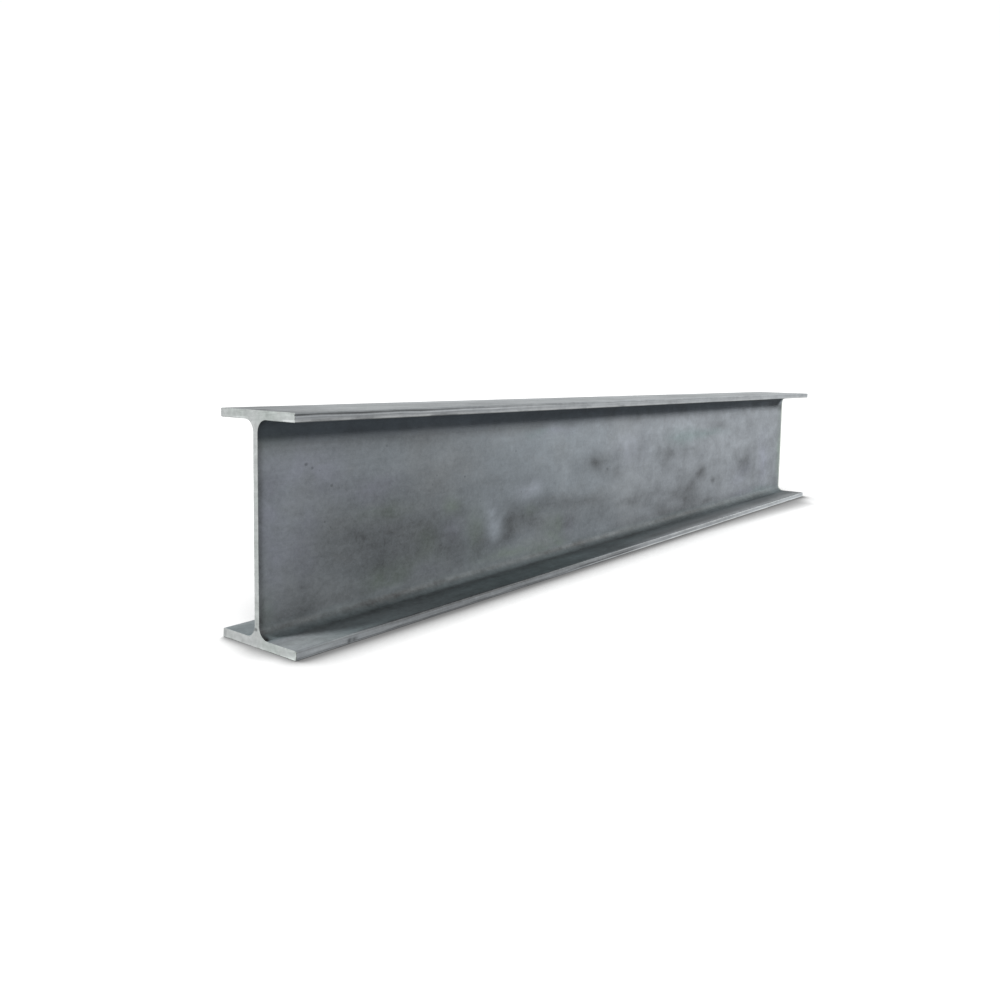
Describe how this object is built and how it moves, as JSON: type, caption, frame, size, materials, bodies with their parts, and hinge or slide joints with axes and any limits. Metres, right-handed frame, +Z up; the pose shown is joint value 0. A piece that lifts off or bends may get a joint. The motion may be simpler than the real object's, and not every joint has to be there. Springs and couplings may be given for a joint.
{
  "type": "steel i-beam",
  "caption": "Cut length of hot-rolled steel I-section beam with parallel flanges, a thin web and filleted roots, lying level on its bottom flange.",
  "frame": {"origin": "middle of the bottom flange's underside, at mid-length", "axes": "+X along the beam, +Y across the flanges, +Z up the web from the bottom flange to the top flange"},
  "size_m": [1.25, 0.102, 0.206],
  "materials": {
    "steel": "mill finish, dull blue-grey with paler cut ends"
  },
  "bodies": {
    "root": {"i_beam": "steel"}
  },
  "joints": []
}
